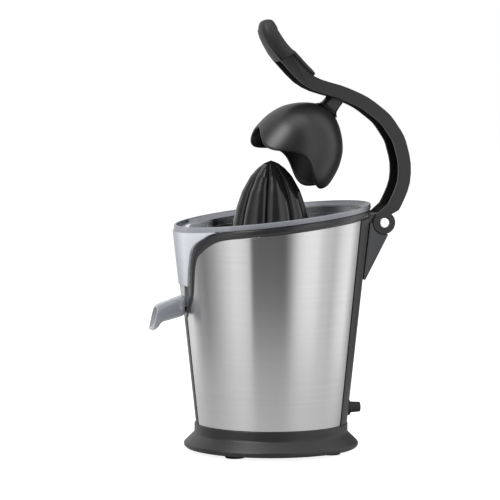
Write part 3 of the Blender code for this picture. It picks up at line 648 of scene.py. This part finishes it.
def stem_grid():
    """Rounded squares up the hood's axis; the top is cut to the slope of the lever."""
    rows = []
    for height, half, slope in ((.0560, .0105, 0), (.0580, .0086, 0), (.0600, .0076, 0),
                                (.0640, .0072, 0), (.0766, .00715, .33)):
        xy = rounded_square(half)
        rows.append(np.column_stack([xy, height + slope * xy[:, 0]]))
    return lean_back(np.array(rows))


piece("hood_neck", stem_grid(), satin_black, "lever", fill=True)

# %% [markdown]
# ## Lever
#
# The lever is a channel bent into an S; its section is a U with rounded shoulders, open
# towards the bowl.  Its shape is the measured solid's, copied with its edges rounded and
# its free end narrowed.  Its middle line is a smooth curve through a few points; the
# grip's sections are carried along it, each standing square to that line.

# %% The lever arm
ARM_LINE = [(-.0046, .380), (-.003, .374), (.0048, .361), (.0155, .349), (.028, .3363),
            (.0415, .329), (.059, .324), (.072, .319), (.084, .3132), (.094, .306),
            (.1030, .2985), (.110, .289), (.1150, .281), (.118, .272), (.1210, .258),
            (.1203, .242), (.1157, .229), (.1106, .219)]
line = curve_through(ARM_LINE, 6) + [AXIS_X, 0]
print("lever line:", len(line), "stations")


def square_to(path):
    """Unit vectors square to a path in the x-z plane, on the side away from the bowl."""
    run = np.gradient(path, axis=0)
    run /= np.linalg.norm(run, axis=1, keepdims=True)
    return np.stack([-run[:, 1], run[:, 0]], axis=1)


def carried(path, section):
    """Grid of a (across, out) section carried along a path: centre + out x normal."""
    out = square_to(path)
    section = np.broadcast_to(section, (len(path), *section.shape[-2:]))
    xz = path[:, None, :] + section[..., 1:2] * out[:, None, :]
    return np.stack([xz[..., 0], section[..., 0], xz[..., 1]], axis=-1)


def smooth_copy(name, source, width, steps, finish, body):
    """A CAD solid copied, its doubles merged, and its edges rounded with a bevel: a piece
    cut by several blocks keeps its exact outline this way."""
    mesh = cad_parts[source].data.copy()
    mesh.materials.clear()
    bm = bmesh.new()
    bm.from_mesh(mesh)
    bmesh.ops.remove_doubles(bm, verts=bm.verts, dist=2e-6)
    bmesh.ops.dissolve_limit(bm, angle_limit=np.radians(1.0), verts=bm.verts,
                             edges=bm.edges)
    bm.to_mesh(mesh)
    bm.free()
    obj = finish_mesh(name, mesh, finish, body, [source], 32)
    bevel = obj.modifiers.new("round edges", "BEVEL")
    bevel.width, bevel.segments, bevel.limit_method = width, steps, "ANGLE"
    bevel.angle_limit = np.radians(32)
    bevel.harden_normals = True
    return obj


def narrow_tip(obj):
    """Narrow the free end, so it stays inside the grip: the width grows from 0.55 at the
    end to full 30 mm further on."""
    for vertex in obj.data.vertices:
        gone = np.hypot(vertex.co.x - line[0, 0], vertex.co.z - line[0, 1])
        if vertex.co.z > .33:
            vertex.co.y *= min(1.0, .55 + .45 * gone / .030)


narrow_tip(smooth_copy("lever_channel", "lever_arm", .0010, 4, arm_black, "lever"))
smooth_copy("hinge_gusset", "hinge_bracket", .0007, 3, bracket_grey, "base")

# %% [markdown]
# ## Grip and hinge pin
#
# The grip is soft.  It wraps the lever's free end like a tongue, and after a step only a
# pad on the outside is left.  Its rounded section is carried along the lever's own line.

# %% The soft grip and the pin


def tongue(reach):
    """Share of the full width near the free end: a quarter ellipse 26 mm long."""
    near = np.clip(1 - np.asarray(reach, float) / .026, 0, 1)
    return .25 + .75 * np.sqrt(1 - near ** 2)


def grip_grid():
    """Superellipse sections: the first 38 mm go all round the channel, then a step leaves
    a pad on top only.  Half width follows the tongue."""
    lead = line[0] + np.array([[-.0017, .0078], [-.00165, .0076], [-.0015, .0068],
                               [-.0012, .0054], [-.0008, .0034], [-.0003, .0012]])
    path = np.vstack([lead, line[:27]])
    reach = np.concatenate([[0], np.cumsum(np.linalg.norm(np.diff(path, axis=0), axis=1))])
    n = len(path)
    high = .0086 + .0022 * np.clip(reach / .040, 0, 1)
    high[:6] = [.0030, .0045, .0062, .0072, .0080, .0085]
    high[-3:] = [.0107, .0102, .0093]
    low = np.where(reach < .038, -.0064, .0050)
    low[:6] = [.0005, -.0010, -.0032, -.0044, -.0054, -.0060]
    wide = .0170 * tongue(reach)
    t = np.arange(44) * 2 * np.pi / 44
    c, s = np.cos(t), np.sin(t)
    across = np.sign(c) * np.abs(c) ** .7
    up = np.sign(s) * np.abs(s) ** .7
    section = np.stack([wide[:, None] * across, (high + low)[:, None] / 2
                        + (high - low)[:, None] / 2 * up], axis=-1)
    return carried(path, section)


piece("grip", grip_grid(), soft_black, "lever", ["grip_pad"], fill=True,
      sharp=60)
pin_line = soften([(0, -.0158), (.0045, -.0158), (.0045, .0158), (0, .0158)], .0008, 4)
pin = turned_grid(pin_line, 64, (0.0, 0.0))
pin = np.stack([pin[..., 0] + PIVOT[0], pin[..., 2], pin[..., 1] + PIVOT[2]], axis=-1)
piece("pin", pin, pin_steel, "base", ["hinge_pin"], close_rows=True)

# %% [markdown]
# ## Everything that keeps its measured shape
#
# Gears, plates, motor, switch, feet and screws are out of sight or simple, so the CAD
# solids stay and only their finishes change.

# %% Finishes for the kept solids
KEPT = {"bottom_cover": charcoal, "inner_housing": gloss_black, "gear_deck": charcoal,
        "switch_case": charcoal, "cord_gland": soft_black, "drive_shaft": bright_steel,
        "counter_shaft": bright_steel, "motor_can": bright_steel, "gear_plate": bright_steel,
        "return_spring": bright_steel, "switch_bracket": bright_steel, "strainer": white_nylon,
        "counter_gear": white_nylon, "output_gear": white_nylon, "motor_pinion": brass,
        "shaft_bush": brass, "switch_plunger": red_plastic}
KEPT.update({f"foot_{k}": foot_rubber for k in range(1, 5)})
KEPT.update({f"cover_screw_{k}": bright_steel for k in range(1, 5)})
for node_name, finish in KEPT.items():
    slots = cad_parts[node_name].data.materials
    for k in range(len(slots)):
        slots[k] = finish
print("kept solids:", len(KEPT))

# %% [markdown]
# ## Floor, light and camera
#
# A plain white floor and room stand in for the studio.  Round the machine is a tent of bright
# and dark cloth, drawn as a ramp of brightness over the compass angle: brushed steel shows
# it as upright bands.  The camera stands 2.5 m away, a little above the rim.

# %% Floor, surroundings, lamps and camera
VIEW = np.radians(-14.0)
RIGHT = np.array([np.cos(VIEW), np.sin(VIEW), 0])
TOWARDS = np.array([np.sin(VIEW), -np.cos(VIEW), 0])
HUB = np.array([AXIS_X, 0, 0])


def floor_piece():
    """A white sheet, level under the machine."""
    mesh = bpy.data.meshes.new("studio_floor")
    side = np.array([[-6, -6, 0], [6, -6, 0], [6, 6, 0], [-6, 6, 0]], float)
    mesh.from_pydata((side - [0, 0, .0002]).tolist(), [], [[0, 1, 2, 3]])
    obj = bpy.data.objects.new("studio_floor", mesh)
    bpy.context.scene.collection.objects.link(obj)
    mat, tree, shader, add = new_finish("studio white")
    where = add("ShaderNodeTexCoord").outputs["Object"]
    slow = add("ShaderNodeTexNoise", {"Vector": where}, Scale=3.0)
    between_values(tree, add, slow.outputs["Fac"], .45, .6, shader.inputs["Roughness"])
    shader.inputs["Base Color"].default_value = (.50, .50, .50, 1)
    shader.inputs["Emission Color"].default_value = (1, 1, 1, 1)
    seen = add("ShaderNodeLightPath")
    between_values(tree, add, seen.outputs["Is Camera Ray"], .10, .90,
                   shader.inputs["Emission Strength"])
    mesh.materials.append(mat)


floor_piece()

# degrees to the right of the line from machine to camera, brightness of the tent there
PANELS = [(-180, .60), (-135, .90), (-119, 1.05), (-108, .70), (-99, .40), (-83, .24),
          (-68, .48), (-55, .85), (-43, 1.10), (-32, 1.00), (-24, .80), (-21, .06), (0, .08),
          (16, .06), (22, .35), (30, .95), (39, 1.25), (52, 1.25), (63, .80), (76, .66),
          (90, 1.10), (103, 1.25), (116, .60), (130, .22), (145, .05), (180, .60)]


def light_tent():
    """A round tent 0.8 m across: panels of cloth, bright and dark, whose brightness is a
    ramp over the compass angle.  It lights the machine but isn't seen by the camera."""
    deg = (np.arange(96) * 360 / 96)[:, None]
    grid = place(.42, deg, np.array([[.001, 1.1]]))
    mesh = bpy.data.meshes.new("light_tent")
    mesh.from_pydata(grid.reshape(-1, 3).tolist(), [],
                     grid_faces(96, 2, True, False).tolist())
    obj = bpy.data.objects.new("light_tent", mesh)
    bpy.context.scene.collection.objects.link(obj)
    obj.visible_camera = obj.visible_shadow = False
    mat, tree, shader, add = new_finish("tent cloth")
    where = add("ShaderNodeTexCoord").outputs["Object"]
    toward = float(np.arctan2(TOWARDS[1], TOWARDS[0]))
    centred = add("ShaderNodeMapping", {"Vector": where}, Location=(-AXIS_X, 0, 0))
    turn = add("ShaderNodeMapping", {"Vector": centred.outputs["Vector"]},
               Rotation=(0, 0, -toward))
    sweep = add("ShaderNodeTexGradient", {"Vector": turn.outputs["Vector"]},
                gradient_type="RADIAL")
    ramp = add("ShaderNodeValToRGB", {"Fac": sweep.outputs["Fac"]})
    stops = ramp.color_ramp.elements
    while len(stops) < len(PANELS):
        stops.new(0.5)
    for stop, (angle, value) in zip(stops, PANELS):
        stop.position = (angle + 180) / 360
        stop.color = (value, value, value, 1)
    tree.links.new(ramp.outputs["Color"], shader.inputs["Emission Color"])
    shader.inputs["Emission Strength"].default_value = 1.0
    shader.inputs["Base Color"].default_value = (.02, .02, .02, 1)
    mesh.materials.append(mat)


def surroundings():
    """A plain room: white to the eye, dimmer as a source of light."""
    world = bpy.data.worlds.new("studio")
    bpy.context.scene.world = world
    world.use_nodes = True
    tree = world.node_tree
    seen = tree.nodes.new("ShaderNodeLightPath")
    level = tree.nodes.new("ShaderNodeMapRange")
    level.inputs["To Min"].default_value = .28
    level.inputs["To Max"].default_value = 1.0
    tree.links.new(seen.outputs["Is Camera Ray"], level.inputs["Value"])
    tree.links.new(level.outputs["Result"], tree.nodes["Background"].inputs["Strength"])
    tree.nodes["Background"].inputs["Color"].default_value = (1, 1, 1, 1)


def lamp(name, side_deg, distance, height, size, power, target=(0, 0, .2)):
    """A rectangular soft box at an angle to the right of the camera line."""
    t = np.radians(side_deg)
    spot = HUB + distance * (np.cos(t) * TOWARDS + np.sin(t) * RIGHT) + [0, 0, height]
    light = bpy.data.lights.new(name, "AREA")
    light.shape, light.size, light.size_y, light.energy = "RECTANGLE", *size, power
    obj = bpy.data.objects.new(name, light)
    aim = np.array(target) - spot
    z = -aim / np.linalg.norm(aim)
    x = np.cross([0, 0, 1.0], z)
    x /= np.linalg.norm(x)
    turn = np.eye(4)
    turn[:3, 0], turn[:3, 1], turn[:3, 2], turn[:3, 3] = x, np.cross(z, x), z, spot
    obj.matrix_world = Matrix(turn.tolist())
    bpy.context.scene.collection.objects.link(obj)


light_tent()
surroundings()
bpy.context.scene.view_settings.view_transform = "Standard"
lamp("key", -48, 1.4, 1.9, (.6, .6), 26)
lamp("rim_right", 75, 1.5, .9, (.35, 1.2), 5)
lamp("top", 10, .5, 2.0, (1.2, 1.2), 10)


def stand_camera():
    """Camera at the far end of a 2.5 m level line, 200 mm lens on a 36 mm sensor."""
    data = bpy.data.cameras.new("camera")
    data.lens, data.sensor_width = 200, 36
    obj = bpy.data.objects.new("camera", data)
    eye = HUB + 2.5 * TOWARDS + [0, 0, .374]
    aim = HUB - .019 * RIGHT + [0, 0, .181]
    z = (eye - aim) / np.linalg.norm(eye - aim)
    x = np.cross([0, 0, 1.0], z)
    x /= np.linalg.norm(x)
    turn = np.eye(4)
    turn[:3, 0], turn[:3, 1], turn[:3, 2], turn[:3, 3] = x, np.cross(z, x), z, eye
    obj.matrix_world = Matrix(turn.tolist())
    bpy.context.scene.collection.objects.link(obj)
    bpy.context.scene.camera = obj


stand_camera()
